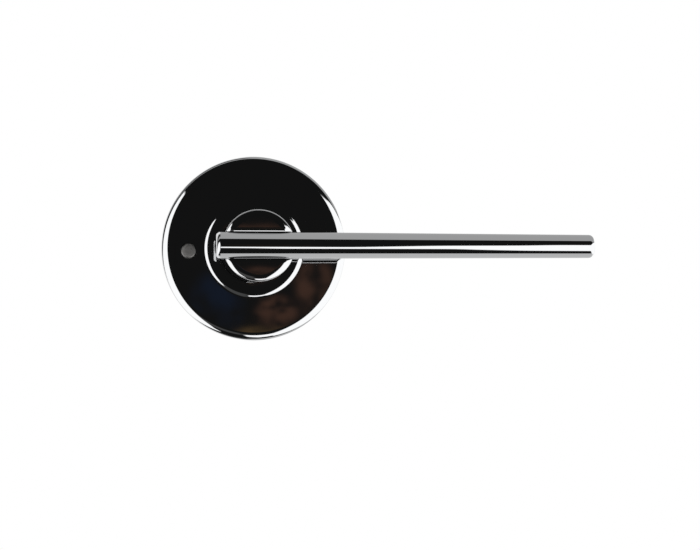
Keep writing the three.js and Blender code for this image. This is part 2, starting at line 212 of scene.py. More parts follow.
def prism(name, outline, low, high, matrix=None):
    """A closed outline of (x, y) points made solid between two heights."""
    bm = bmesh.new()
    bottom = bm.faces.new([bm.verts.new((x, y, low)) for x, y in outline])
    top = bmesh.ops.extrude_face_region(bm, geom=[bottom])
    raised = [v for v in top["geom"] if isinstance(v, bmesh.types.BMVert)]
    bmesh.ops.translate(bm, vec=(0, 0, high - low), verts=raised)
    return new_piece(name, bm, matrix)


def round_corners(half_width, half_height, radius, steps=5):
    """The outline of a rectangle with rounded corners."""
    points = []
    for i, (sx, sy) in enumerate(((1, 1), (-1, 1), (-1, -1), (1, -1))):
        cx, cy = sx * (half_width - radius), sy * (half_height - radius)
        points += arc(cx, cy, radius, radius, 90 * i, 90 * i + 90, steps)
    return points


def radial_block(name, angle, inner, outer, width, low, high):
    """A block lying along a radius."""
    outline = [(inner, -width / 2), (outer, -width / 2), (outer, width / 2), (inner, width / 2)]
    return prism(name, outline, low, high, Matrix.Rotation(math.radians(angle), 4, "Z"))


def sector(name, inner, outer, start, end, low, high):
    """A block in the shape of part of a ring."""
    outline = arc(0, 0, outer, outer, start, end, 24) + arc(0, 0, inner, inner, end, start, 24)
    return prism(name, outline, low, high)


def swept(name, points, radius, sides=20):
    """A round wire along a line of points, with rounded-off ends."""
    bm = bmesh.new()
    path = [Vector(p) for p in points]
    last = len(path) - 1
    tangents = [(path[min(i + 1, last)] - path[max(i - 1, 0)]).normalized() for i in range(len(path))]
    side = tangents[0].orthogonal().normalized()
    ends = [(0.55, -0.85), (0.85, -0.5)]
    stations = [(path[0] + tangents[0] * radius * push, tangents[0], share) for share, push in ends]
    stations += [(p, t, 1) for p, t in zip(path[1:-1], tangents[1:-1])]
    for share, push in reversed(ends):
        stations.append((path[-1] + tangents[-1] * radius * -push, tangents[-1], share))
    rings = []
    for centre, tangent, share in stations:
        side = (side - tangent * side.dot(tangent)).normalized()
        other = tangent.cross(side)
        ring = []
        for k in range(sides):
            a = 2 * math.pi * k / sides
            spoke = side * math.cos(a) + other * math.sin(a)
            ring.append(bm.verts.new(centre + spoke * radius * share))
        rings.append(ring)
    for low, high in zip(rings, rings[1:]):
        for k in range(sides):
            bm.faces.new([low[k], low[(k + 1) % sides], high[(k + 1) % sides], high[k]])
    bm.faces.new(rings[0])
    bm.faces.new(rings[-1])
    return new_piece(name, bm)


def threaded(name, radius, pitch, low, high, segments=48, per_turn=12):
    """A right-hand thread as a closed rod, fading out at both ends."""
    depth = pitch * 0.54
    rows = max(2, round((high - low) / pitch * per_turn))
    bm = bmesh.new()
    rings = []
    for i in range(rows + 1):
        z = low + (high - low) * i / rows
        fade = min(1, (z - low) / pitch, (high - z) / pitch)
        ring = []
        for k in range(segments):
            phase = (z / pitch - k / segments) % 1
            crest = min(1, max(0, abs(phase * 2 - 1) * 1.35 - 0.175))
            r = radius - depth + depth * crest * fade
            a = 2 * math.pi * k / segments
            ring.append(bm.verts.new((r * math.cos(a), r * math.sin(a), z)))
        rings.append(ring)
    for lower, upper in zip(rings, rings[1:]):
        for k in range(segments):
            bm.faces.new([lower[k], lower[(k + 1) % segments], upper[(k + 1) % segments], upper[k]])
    bm.faces.new(rings[0])
    bm.faces.new(rings[-1])
    return new_piece(name, bm)


def bake(piece):
    """Applies a piece's modifiers to its mesh."""
    graph = bpy.context.evaluated_depsgraph_get()
    mesh = bpy.data.meshes.new_from_object(piece.evaluated_get(graph))
    old = piece.data
    piece.modifiers.clear()
    piece.data = mesh
    bpy.data.meshes.remove(old)
    return piece


def combine(piece, operation, others):
    """Joins other pieces to this one, or cuts them from it, and uses them up."""
    for other in others:
        modifier = piece.modifiers.new("boolean", "BOOLEAN")
        modifier.operation = operation
        modifier.solver = "EXACT"
        modifier.object = other
        bake(piece)
        bpy.data.objects.remove(other)
    return piece


def soften(piece, width, segments=2, angle=35):
    """Rounds a piece's sharp edges."""
    modifier = piece.modifiers.new("bevel", "BEVEL")
    modifier.width = width
    modifier.segments = segments
    modifier.limit_method = "ANGLE"
    modifier.angle_limit = math.radians(angle)
    modifier.use_clamp_overlap = True
    return bake(piece)


def finish_piece(piece, node, body, material, smooth_angle=30):
    """Puts a finished shape in the row's frame, in place of its CAD node."""
    piece.data.transform(TO_ROW)
    bm = bmesh.new()
    bm.from_mesh(piece.data)
    bmesh.ops.remove_doubles(bm, verts=bm.verts, dist=2e-7)
    bmesh.ops.recalc_face_normals(bm, faces=bm.faces)
    for face in bm.faces:
        face.smooth = True
    for edge in bm.edges:
        edge.smooth = len(edge.link_faces) == 2 and edge.calc_face_angle(0) < math.radians(smooth_angle)
    bm.to_mesh(piece.data)
    bm.free()
    weighted = piece.modifiers.new("weighted", "WEIGHTED_NORMAL")
    weighted.keep_sharp = True
    weighted.weight = 100
    bake(piece)
    piece.data.materials.clear()
    piece.data.materials.append(material)
    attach(piece, body)
    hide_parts(node)
    return piece


def at(x, y, z=0):
    """A matrix that moves a shape to a place."""
    return Matrix.Translation((x, y, z))


# ---- Materials -----------------------------------------------------------------------------------


class Shader:
    """A node material, with short ways to add and join its nodes."""

    def __init__(self, name, color, metallic, roughness, **constants):
        self.material = bpy.data.materials.new(name)
        self.material.use_nodes = True
        self.tree = self.material.node_tree
        self.surface = self.tree.nodes["Principled BSDF"]
        self.surface.inputs["Base Color"].default_value = (*color, 1)
        self.surface.inputs["Metallic"].default_value = metallic
        self.surface.inputs["Roughness"].default_value = roughness
        for socket, value in constants.items():
            self.surface.inputs[socket.replace("_", " ")].default_value = value

    def node(self, kind, **settings):
        made = self.tree.nodes.new("ShaderNode" + kind)
        for key, value in settings.items():
            setattr(made, key, value)
        return made

    def join(self, output, target):
        self.tree.links.new(output, target)

    def place(self, scale=(1, 1, 1)):
        """The point on the piece, in metres times a scale."""
        coordinates = self.node("TexCoord")
        mapping = self.node("Mapping")
        mapping.inputs["Scale"].default_value = scale
        self.join(coordinates.outputs["Object"], mapping.inputs["Vector"])
        return mapping.outputs["Vector"]

    def around(self, centre, radial, angular):
        """The point in rings about an axis along the row's Y through a place, for turned or spun finishes."""
        coordinates = self.node("TexCoord")
        move = self.node("VectorMath", operation="SUBTRACT")
        move.inputs[1].default_value = centre
        self.join(coordinates.outputs["Object"], move.inputs[0])
        parts = self.node("SeparateXYZ")
        self.join(move.outputs[0], parts.inputs[0])
        flat = self.node("CombineXYZ")
        self.join(parts.outputs["X"], flat.inputs["X"])
        self.join(parts.outputs["Z"], flat.inputs["Y"])
        length = self.node("VectorMath", operation="LENGTH")
        self.join(flat.outputs[0], length.inputs[0])
        turn = self.math("ARCTAN2", parts.outputs["Z"], parts.outputs["X"])
        made = self.node("CombineXYZ")
        self.join(self.math("MULTIPLY", length.outputs["Value"], radial), made.inputs["X"])
        self.join(self.math("MULTIPLY", turn, angular), made.inputs["Y"])
        self.join(self.math("MULTIPLY", parts.outputs["Y"], radial), made.inputs["Z"])
        return made.outputs[0]

    def math(self, operation, first, second=None, third=None):
        made = self.node("Math", operation=operation)
        for socket, value in zip(made.inputs, (first, second, third)):
            if isinstance(value, bpy.types.NodeSocket):
                self.join(value, socket)
            elif value is not None:
                socket.default_value = value
        return made.outputs[0]

    def noise(self, vector, scale, detail=4, roughness=0.5):
        made = self.node("TexNoise")
        made.inputs["Scale"].default_value = scale
        made.inputs["Detail"].default_value = detail
        made.inputs["Roughness"].default_value = roughness
        self.join(vector, made.inputs["Vector"])
        return made.outputs["Fac"]

    def ranged(self, value, low, high, to_low, to_high):
        made = self.node("MapRange")
        for socket, number in zip(made.inputs[1:5], (low, high, to_low, to_high)):
            socket.default_value = number
        self.join(value, made.inputs[0])
        return made.outputs[0]

    def mixed(self, factor, first, second):
        made = self.node("Mix", data_type="RGBA")
        self.join(factor, made.inputs[0])
        made.inputs[6].default_value = (*first, 1)
        made.inputs[7].default_value = (*second, 1)
        return made.outputs[2]

    def color(self, output):
        self.join(output, self.surface.inputs["Base Color"])

    def roughness(self, output):
        self.join(output, self.surface.inputs["Roughness"])

    def bump(self, height, distance, strength=1.0):
        """Adds relief, with its depth in metres, on top of any already there."""
        made = self.node("Bump")
        made.inputs["Distance"].default_value = distance
        made.inputs["Strength"].default_value = strength
        self.join(height, made.inputs["Height"])
        normal = self.surface.inputs["Normal"]
        if normal.is_linked:
            self.join(normal.links[0].from_socket, made.inputs["Normal"])
        self.join(made.outputs["Normal"], normal)


def polished_chrome():
    """Mirror chrome: a hair of haze that varies with handling, and a few fine wiping scratches."""
    shader = Shader("polished_chrome", (0.56, 0.565, 0.57), 1, 0.02)
    haze = shader.noise(shader.place(), 55, 3)
    scratches = shader.noise(shader.place((900, 60, 2600)), 1, 2)
    lines = shader.ranged(scratches, 0.68, 0.8, 0, 0.006)
    cloud = shader.ranged(haze, 0.35, 0.75, 0.018, 0.034)
    shader.roughness(shader.math("ADD", cloud, lines))
    return shader.material


def satin_nickel():
    """Fine spun satin on the button, varying in rings about its axis."""
    shader = Shader("satin_nickel", (0.25, 0.24, 0.23), 1, 0.34, Anisotropic=0.3)
    rings = shader.noise(shader.around((BUTTON_X * MM, 0, BUTTON_Y * MM), 16000, 0.9), 1, 3)
    shader.roughness(shader.ranged(rings, 0.3, 0.7, 0.26, 0.42))
    shader.color(shader.mixed(rings, (0.14, 0.137, 0.132), (0.22, 0.215, 0.208)))
    shader.bump(rings, 4e-6, 0.5)
    return shader.material


def zinc_casting():
    """Bare die-cast zinc: a faint cast skin with cloudy patches and small pits."""
    shader = Shader("zinc_casting", (0.52, 0.53, 0.54), 1, 0.5)
    skin = shader.noise(shader.place(), 900, 6, 0.6)
    cloud = shader.noise(shader.place(), 90, 4)
    pits = shader.ranged(shader.noise(shader.place(), 2300, 2), 0.66, 0.74, 1, 0)
    shader.color(shader.mixed(cloud, (0.4, 0.41, 0.42), (0.62, 0.63, 0.64)))
    shader.roughness(shader.ranged(cloud, 0.3, 0.7, 0.38, 0.58))
    shader.bump(skin, 3e-5, 0.5)
    shader.bump(pits, 4e-5, 0.4)
    return shader.material


def plated_steel(name, drawn):
    """Zinc-plated steel: draw lines in the direction of its scales, and a faint yellow and blue cast."""
    shader = Shader(name, (0.5, 0.5, 0.5), 1, 0.28)
    lines = shader.noise(shader.place(drawn), 1, 3)
    tint = shader.noise(shader.place(), 70, 3)
    shader.color(shader.mixed(tint, (0.46, 0.48, 0.52), (0.54, 0.52, 0.46)))
    shader.roughness(shader.ranged(lines, 0.3, 0.7, 0.2, 0.38))
    shader.bump(lines, 6e-6, 0.5)
    return shader.material


def spring_steel():
    """Oiled spring steel: dark, with draw lines and a thin wet sheen."""
    shader = Shader("spring_steel", (0.3, 0.3, 0.31), 1, 0.32, Coat_Weight=0.25, Coat_Roughness=0.12)
    scale = shader.noise(shader.place(), 600, 5)
    shader.color(shader.mixed(scale, (0.2, 0.2, 0.22), (0.42, 0.41, 0.4)))
    shader.roughness(shader.ranged(scale, 0.3, 0.7, 0.24, 0.42))
    shader.bump(scale, 8e-6, 0.4)
    return shader.material


def black_steel():
    """Black oxide, rubbed to bare steel in specks."""
    shader = Shader("black_steel", (0.025, 0.025, 0.028), 0.7, 0.42)
    rub = shader.ranged(shader.noise(shader.place(), 1500, 5), 0.62, 0.75, 0, 1)
    shader.color(shader.mixed(rub, (0.022, 0.022, 0.026), (0.2, 0.2, 0.2)))
    shader.roughness(shader.ranged(rub, 0, 1, 0.44, 0.3))
    shader.bump(rub, 6e-6, 0.4)
    return shader.material


def acetal():
    """Natural acetal: milky, smooth, with a fine moulded texture."""
    shader = Shader(
        "acetal", (0.82, 0.81, 0.77), 0, 0.38, Subsurface_Weight=0.3, Subsurface_Scale=0.002, IOR=1.48
    )
    texture = shader.noise(shader.place(), 1800, 4)
    cloud = shader.noise(shader.place(), 120, 2)
    shader.color(shader.mixed(cloud, (0.78, 0.77, 0.72), (0.86, 0.85, 0.81)))
    shader.roughness(shader.ranged(texture, 0.3, 0.7, 0.32, 0.46))
    shader.bump(texture, 1e-5, 0.4)
    return shader.material


CHROME = polished_chrome()
SATIN = satin_nickel()
ZINC = zinc_casting()
DRAWN_STEEL = plated_steel("drawn_steel", (2500, 40, 2500))
PLATED_STEEL = plated_steel("plated_steel", (1200, 1200, 1200))
SPRING = spring_steel()
BLACK = black_steel()
ACETAL = acetal()

# ---- Rose ----------------------------------------------------------------------------------------


def without_repeats(profile):
    """A profile with no two neighbouring points in one place."""
    kept = [profile[0]]
    for point in profile[1:]:
        if math.dist(point, kept[-1]) > 1e-5:
            kept.append(point)
    return kept


def rose_cover():
    """The pressed cover: rounded edge, flat face, raised centre and a hole for the button."""
    hole = COLLAR_OUTER + 0.04
    ceiling = ROSE_FACE - ROSE_WALL
    boss_ceiling = BOSS_FACE - ROSE_WALL
    bend = (BOSS_OUTER - BOSS_INNER) * 0.45
    profile = [(ROSE_RADIUS - 0.25, ROSE_RIM)]
    profile += arc(ROSE_RADIUS - 0.25, ROSE_RIM + 0.25, 0.25, 0.25, -90, 0, 6)
    profile += crowned_edge(ROSE_RADIUS, ROSE_FACE, ROSE_CROWN_START, ROSE_CROWN, ROSE_FILLET)[::-1]
    profile += step_curve((BOSS_OUTER, ROSE_FACE), (BOSS_INNER, BOSS_FACE), bend, 24)
    profile += [(hole, BOSS_FACE + BOSS_CROWN), (hole, boss_ceiling)]
    profile += step_curve((BOSS_INNER - 0.6, boss_ceiling), (BOSS_OUTER - 0.6, ceiling), bend, 12)
    profile += arc(ROSE_RADIUS - ROSE_WALL - 0.7, ceiling - 0.9, 0.7, 0.7, 90, 0, 10)
    profile += [(ROSE_RADIUS - ROSE_WALL, ROSE_RIM)]
    cover = turned("rose_cover_skin", without_repeats(profile), FINE)
    flare = 0.03
    punch = [(0, ceiling - 1), (BUTTON_HOLE, ceiling - 1)]
    punch += arc(BUTTON_HOLE + flare, ROSE_FACE - flare, flare, flare, 180, 90, 6)
    punch += [(BUTTON_HOLE + flare, ROSE_FACE + 1), (0, ROSE_FACE + 1)]
    combine(cover, "DIFFERENCE", [turned("punch", punch, MEDIUM, at(BUTTON_X, BUTTON_Y))])
    return finish_piece(cover, "rose_cover", "rose", CHROME)


def neck_collar():
    """The thin collar round the neck, flush with the rose."""
    corners = [
        (COLLAR_INNER, 9.4, 0),
        (15.8, 9.4, 0.1),
        (15.8, 10, 0.1),
        (COLLAR_OUTER, 10, 0),
        (COLLAR_OUTER, BOSS_FACE + BOSS_CROWN, 0),
        (COLLAR_INNER, BOSS_FACE + BOSS_CROWN, 0),
    ]
    collar = turned("neck_collar", filleted(corners, closed=True, step=10), FINE)
    return finish_piece(collar, "neck_bush", "rose", CHROME)


def cover_clip(index, angle):
    """A U of spring strip over the plate's edge."""
    thick = 0.6
    middle = filleted(
        [(26.5, 3.6, 0), (33.2, 3.6, 0.6), (33.2, 0.6, 0.6), (28.5, 0.6, 0)], step=15
    )
    outer, inner = [], []
    for i, here in enumerate(middle):
        before, after = middle[max(i - 1, 0)], middle[min(i + 1, len(middle) - 1)]
        way = Vector((after[0] - before[0], after[1] - before[1])).normalized() * thick / 2
        outer.append((here[0] - way.y, here[1] + way.x))
        inner.append((here[0] + way.y, here[1] - way.x))
    strip = prism("clip", outer + inner[::-1], -4, 4, Matrix.Rotation(math.pi / 2, 4, "X"))
    strip.data.transform(Matrix.Rotation(math.radians(angle), 4, "Z"))
    soften(strip, 0.12, 2, 50)
    strip.name = f"cover_clip_strip_{index}"
    return finish_piece(strip, f"cover_clip_{index}", "rose", SPRING)


def mounting_plate():
    """The zinc casting behind the cover, with its tower, posts, pockets and holes."""
    corners = [
        (9.6, 2.2, 0),
        (12, 2.2, 0),
        (12, 0, 0.3),
        (PLATE_RADIUS, 0, 0.3),
        (PLATE_RADIUS, PLATE_THICKNESS, 0.3),
        (11.3, PLATE_THICKNESS, 0),
        (11.3, 6.6, 0.2),
        (9.6, 6.6, 0.2),
    ]
    plate = turned("mounting_plate_casting", filleted(corners, closed=True, step=22), MEDIUM)
    root, post_top, anchor_top = PLATE_THICKNESS - 0.5, 9, 6
    post_middle = (POST_INNER + POST_OUTER) / 2
    post_turn = math.degrees((FINGER_WIDTH + POST_WIDTH) / 2 / post_middle + GAP / post_middle)
    stops = (DRIVER_ANGLE + post_turn, DRIVER_ANGLE - LEVER_TRAVEL - post_turn)
    posts = [radial_block("post", a, POST_INNER, POST_OUTER, POST_WIDTH, root, post_top) for a in stops]
    beside = SPRING_WIRE + GAP + ANCHOR_WIDTH / 2
    anchor = FIXED_LEG_ANGLE - math.degrees(beside / ANCHOR_INNER)
    posts.append(radial_block("anchor", anchor, ANCHOR_INNER, ANCHOR_OUTER, ANCHOR_WIDTH, root, anchor_top))
    combine(plate, "UNION", posts)
    countersink = [(0, -1), (2.4, -1), (2.4, 1.25), (5.15, 4), (0, 4)]
    cutters = [turned("hole", countersink, SMALL, at(0, y)) for y in (BOLT_Y, -BOLT_Y)]
    guide_hole = [(0, -1), (6.1, -1), (6.1, 4), (0, 4)]
    cutters.append(turned("guide_hole", guide_hole, SMALL, at(BUTTON_X, BUTTON_Y)))
    cutters += [radial_block("notch", a, 28.2, 33.4, 8.6, -1, 1.2) for a in CLIP_ANGLES]
    inner, outer, start, end, depth = 15, 26.5, 26, 64, 1.4
    for quarter in range(4):
        turn = 90 * quarter
        cutters.append(sector("pocket", inner, outer, turn + start, turn + end, -1, depth))
    combine(plate, "DIFFERENCE", cutters)
    soften(plate, 0.18, 2, 50)
    return finish_piece(plate, "mounting_plate", "rose", ZINC, 40)


def plate_bearing():
    """The plastic bearing in the plate's tower."""
    corners = [
        (8.3, 2.5, 0.2),
        (9.3, 2.5, 0.2),
        (9.3, 6.9, 0),
        (11.2, 6.9, 0.1),
        (11.2, 7.6, 0.1),
        (8.3, 7.6, 0.2),
    ]
    bearing = turned("plate_bearing", filleted(corners, closed=True, step=22), MEDIUM)
    return finish_piece(bearing, "plate_bush", "rose", ACETAL)


def fixing_bolt(which, y):
    """A countersunk M4 through bolt with a cross recess."""
    corners = [(0, -10, 0), (1.96, -10, 0), (2, 1.25, 0), (3.75, 3, 0.12), (0, 3, 0)]
    bolt = turned("bolt", filleted(corners, step=22), SMALL)
    arms = [prism("arm", round_corners(*half, 0.2), 1.8, 4) for half in ((1.9, 0.45), (0.45, 1.9))]
    combine(bolt, "DIFFERENCE", arms)
    combine(bolt, "UNION", [threaded("thread", M4_RADIUS, M4_PITCH, -42, -9.5)])
    bolt.data.transform(at(0, y))
    bolt.name = f"through_bolt_{which}"
    return finish_piece(bolt, f"fixing_bolt_{which}", "rose", PLATED_STEEL, 40)


def return_spring():
    """The torsion spring: a leg on its post, the coil clockwise round the tower, a leg on its tab."""
    radius, bend, bottom, top = 12.5, 1.3, 4.1, 6.7
    beside = TAB_WIDTH / 2 + GAP + SPRING_WIRE
    moving = DRIVER_ANGLE - math.degrees(beside / TAB_INNER)
    turn_in = math.degrees(bend / radius)
    through = FIXED_LEG_ANGLE - moving + 360 - 2 * turn_in

    def polar(r, degrees, z):
        return Vector((r * math.cos(math.radians(degrees)), r * math.sin(math.radians(degrees)), z))

    def bent(angle, side, z):
        """The bend from a leg into the coil, as a quarter circle."""
        out = polar(1, angle, 0)
        across = polar(1, angle + 90 * side, 0)
        centre = out * (radius + bend) + across * bend
        level = Vector((0, 0, z))
        angles = [math.radians(90 * k / 6) for k in range(7)]
        return [centre - (across * math.cos(a) + out * math.sin(a)) * bend + level for a in angles]

    points = [polar(FIXED_LEG_END, FIXED_LEG_ANGLE, bottom)] + bent(FIXED_LEG_ANGLE, -1, bottom)
    steps = 120
    for i in range(1, steps):
        share = i / steps
        angle = FIXED_LEG_ANGLE - turn_in - share * through
        points.append(polar(radius, angle, bottom + share * (top - bottom)))
    points += bent(moving, 1, top)[::-1] + [polar(MOVING_LEG_END, moving, top)]
    return finish_piece(swept("torsion_spring", points, SPRING_WIRE), "return_spring", "rose", SPRING, 50)


# ---- Lever ---------------------------------------------------------------------------------------


def saddle_line():
    """Points (y, z) across half of the neck's face: up out of the saddle, over its lip and along the face."""
    points = [(SADDLE_RADIUS * math.sin(a), BAR_HEIGHT - SADDLE_RADIUS * math.cos(a))
              for a in (math.radians(88 * k / 18) for k in range(19))]
    steepest = math.asin(LIP_WIDTH / LIP_CROWN)
    centre = (SADDLE_RADIUS + 0.05 + LIP_WIDTH, HUB_FACE - LIP_CROWN)
    points += arc(*centre, LIP_CROWN, LIP_CROWN, 90 + math.degrees(steepest), 90, 20)
    start = math.asin(points[-1][0] / HUB_RADIUS)
    for k in range(1, 49):
        points.append((HUB_RADIUS * math.sin(start + (math.pi / 2 - start) * k / 48), HUB_FACE))
    return points


def face_height(y_height, r):
    """The height of the neck's face where the saddle's line and the crowned rim both lower it."""
    meet = math.asin((HUB_RADIUS - HUB_FILLET - HUB_CROWN_START) / (HUB_CROWN - HUB_FILLET))
    if r < HUB_CROWN_START:
        return y_height
    if r < HUB_CROWN_START + HUB_CROWN * math.sin(meet):
        return y_height - HUB_CROWN + math.sqrt(HUB_CROWN**2 - (r - HUB_CROWN_START) ** 2)
    past = max(0, r - HUB_RADIUS + HUB_FILLET)
    centre = (HUB_CROWN - HUB_FILLET) * math.cos(meet) - HUB_CROWN
    return y_height + centre + math.sqrt(max(0, HUB_FILLET**2 - past**2))


def lever_neck():
    """The neck: a soft-lipped saddle for the bar, a shank, and holes for the spindle and the screws."""
    half = saddle_line()
    line = [(-y, z) for y, z in half[:0:-1]] + half
    columns = 128
    bm = bmesh.new()
    rows = []
    for y, z in line:
        reach = math.sqrt(max(0, HUB_RADIUS**2 - y * y))
        row = []
        for k in range(columns + 1):
            x = reach * math.sin(math.pi * (k / columns - 0.5))
            row.append(bm.verts.new((x, y, face_height(z, math.hypot(x, y)))))
        rows.append(row)
    for low, high in zip(rows, rows[1:]):
        for k in range(columns):
            bm.faces.new([low[k], low[k + 1], high[k + 1], high[k]])
    edge = [row[-1] for row in rows] + [row[0] for row in reversed(rows)]
    levels = [
        (HUB_RADIUS, 30),
        (HUB_RADIUS, HUB_FOOT + 0.3),
        (HUB_RADIUS - 0.09, HUB_FOOT + 0.09),
        (HUB_RADIUS - 0.3, HUB_FOOT),
        (SHANK_RADIUS, HUB_FOOT),
        (SHANK_RADIUS, 1.5),
        (GROOVE_RADIUS, 1.5),
        (GROOVE_RADIUS, -0.1),
        (SHANK_RADIUS, -0.1),
        (SHANK_RADIUS, SHANK_END + 0.3),
        (SHANK_RADIUS - 0.3, SHANK_END),
    ]

    def wall(upper, lower):
        for k in range(len(upper)):
            n = (k + 1) % len(upper)
            bm.faces.new([upper[k], upper[n], lower[n], lower[k]])

    above = [bm.verts.new((v.co.x, v.co.y, v.co.z - 0.4)) for v in edge]
    wall(edge, above)
    for radius, z in levels:
        ring = [bm.verts.new((v.co.x / HUB_RADIUS * radius, v.co.y / HUB_RADIUS * radius, z)) for v in edge]
        wall(above, ring)
        above = ring
    bm.faces.new(above)
    bmesh.ops.remove_doubles(bm, verts=bm.verts, dist=1e-4)
    neck = new_piece("lever_neck_body", bm)
    keys = [radial_block("key", a, 7, 10.6, 4, 8.1, 10) for a in (0, 180)]
    combine(neck, "UNION", keys)
    outside = HUB_RADIUS + 0.25
    flare = [(0, -outside), (3.05, -outside), (3.05, 0.28 - outside), (2.8, 0.6 - outside)]
    flare += [(2.8, -3.5), (0, -3.5)]
    to_side = at(0, 0, GRUB_HEIGHT) @ Matrix.Rotation(-math.pi / 2, 4, "X")
    cutters = [
        prism("socket", round_corners(4.15, 4.15, 0.4), -3, 30.5),
        turned("screw_hole", [(0, 29), (2.3, 29), (2.3, 45), (0, 45)], SMALL),
        turned("grub_hole", flare, SMALL, to_side),
    ]
    combine(neck, "DIFFERENCE", cutters)
    return finish_piece(neck, "lever_neck", "lever", CHROME)


def lever_bar():
    """The tapered bar, with rounded ends."""
    low, high = BAR_START_FILLET, BAR_END_FILLET
    profile = [(0, BAR_START)]
    profile += arc(BAR_START_RADIUS - low, BAR_START + low, low, low, -90, 0, 24)
    straight = BAR_END - high - BAR_START - low
    taper = BAR_END_RADIUS - BAR_START_RADIUS
    for k in range(1, 24):
        profile.append((BAR_START_RADIUS + taper * k / 24, BAR_START + low + straight * k / 24))
    profile += arc(BAR_END_RADIUS - high, BAR_END - high, high, high, 0, 90, 24)
    profile += [(0, BAR_END)]
    bar = turned("lever_bar_body", profile, FINE, at(0, 0, BAR_HEIGHT) @ ALONG_X)
    return finish_piece(bar, "lever_bar", "lever", CHROME)


def bar_screw():
    """A socket-head screw up the neck."""
    foot, shoulder = 26.5, 30.2
    corners = [(0, foot, 0), (3.5, foot, 0.4), (3.5, shoulder, 0.1)]
    corners += [(1.95, shoulder, 0), (1.95, 36, 0), (0, 36, 0)]
    screw = turned("cap_screw", filleted(corners, step=15), SMALL)
    combine(screw, "DIFFERENCE", [turned("hex", [(0, 25), (1.74, 25), (1.74, 28.5), (0, 28.7)], 6)])
    combine(screw, "UNION", [threaded("thread", M4_RADIUS, M4_PITCH, 35.5, 47)])
    return finish_piece(screw, "bar_screw", "lever", BLACK, 40)


def spindle():
    """The drawn square bar, with its corners broken and its ends chamfered."""
    bar = prism("square_spindle", round_corners(4, 4, 0.45, 4), -66, 24)
    soften(bar, 0.35, 2, 60)
    return finish_piece(bar, "spindle", "lever", DRAWN_STEEL, 50)


def grub_screw():
    """The socket grub screw in the neck's underside."""
    screw = threaded("grub", 2.5, 0.8, 4.3, 11.2)
    combine(screw, "DIFFERENCE", [turned("hex", [(0, 8.6), (1.45, 8.8), (1.45, 12), (0, 12)], 6)])
    screw.data.transform(at(0, 0, GRUB_HEIGHT) @ Matrix.Rotation(math.pi / 2, 4, "X"))
    screw.name = "grub_screw"
    return finish_piece(screw, "spindle_grub_screw", "lever", BLACK, 40)


def wave_spring_washer():
    """A three-wave washer between the plate and the circlip."""
    bm = bmesh.new()
    rings = []
    inner, outer, half, middle, wave = 8.4, 11.4, 0.05, 1.7, 0.14
    for r, side in ((inner, -half), (outer, -half), (outer, half), (inner, half)):
        ring = []
        for k in range(MEDIUM):
            a = 2 * math.pi * k / MEDIUM
            height = middle + wave * math.sin(3 * a) + side
            ring.append(bm.verts.new((r * math.cos(a), r * math.sin(a), height)))
        rings.append(ring)
    for lower, upper in zip(rings, rings[1:] + rings[:1]):
        for k in range(MEDIUM):
            n = (k + 1) % MEDIUM
            bm.faces.new([lower[k], lower[n], upper[n], upper[k]])
    return finish_piece(new_piece("waved_washer", bm), "wave_washer", "lever", SPRING, 50)


def circlip_ring():
    """The open retaining ring: a band whose ends are rounded into lugs, each with a drilled hole."""
    middle, half = 9.25, 1.55
    start, end = -65, 245
    bottom, top, hole = 0.2, 1.2, 0.7
    places = [(middle * math.cos(math.radians(a)), middle * math.sin(math.radians(a))) for a in (start, end)]
    outline = arc(0, 0, middle + half, middle + half, start, end, 48)
    outline += arc(*places[1], half, half, end, end + 180, 24)[1:-1]
    outline += arc(0, 0, middle - half, middle - half, end, start, 48)
    outline += arc(*places[0], half, half, start + 180, start + 360, 24)[1:-1]
    ring = prism("retaining_ring", outline, bottom, top)
    holes = [turned("hole", [(0, 0), (hole, 0), (hole, 2), (0, 2)], SMALL, at(*p)) for p in places]
    combine(ring, "DIFFERENCE", holes)
    soften(ring, 0.08, 2, 60)
    return finish_piece(ring, "circlip", "lever", SPRING, 40)


# ---- Privacy button ------------------------------------------------------------------------------


def privacy_button():
    """The button's face is very slightly crowned, with a soft edge."""
    top = ROSE_FACE + BUTTON_TRAVEL
    corners = [
        (0, 7.8, 0),
        (1.8, 7.8, 0),
        (1.8, 4.5, 0.1),
        (3, 4.5, 0.15),
        (3, 8.3, 0),
        (4.6, 8.3, 0.1),
        (4.6, 9.4, 0.1),
        (BUTTON_RADIUS, 9.4, 0),
        (BUTTON_RADIUS, top - 0.06, 0.3),
        (1.4, top - 0.01, 3),
        (0, top, 0),
    ]
    button = turned("push_button", filleted(corners, step=8), MEDIUM, at(BUTTON_X, BUTTON_Y))
    return finish_piece(button, "privacy_button", "privacy", SATIN)


def privacy_pin():
    """The pin that reaches into the latch."""
    corners = [(0, -26, 0), (0.75, -26, 0.1), (1.5, -25, 0.2), (1.5, 7.5, 0.2), (0, 7.5, 0)]
    pin = turned("latch_pin", filleted(corners, step=15), SMALL, at(BUTTON_X, BUTTON_Y))
    return finish_piece(pin, "privacy_pin", "privacy", DRAWN_STEEL)


def button_guide():
    """The moulded cup that the button slides in."""
    corners = [
        (1.8, 0.3, 0.15),
        (5.8, 0.3, 0.4),
        (5.8, 3.3, 0),
        (7.2, 3.3, 0.15),
        (7.2, 4.3, 0.15),
        (5.8, 4.3, 0),
        (5.8, 9.5, 0.15),
        (4.9, 9.5, 0.15),
        (4.9, 1.2, 0.2),
        (1.8, 1.2, 0.1),
    ]
    guide = turned("guide_cup", filleted(corners, closed=True, step=15), MEDIUM, at(BUTTON_X, BUTTON_Y))
    return finish_piece(guide, "button_guide", "rose", ACETAL)


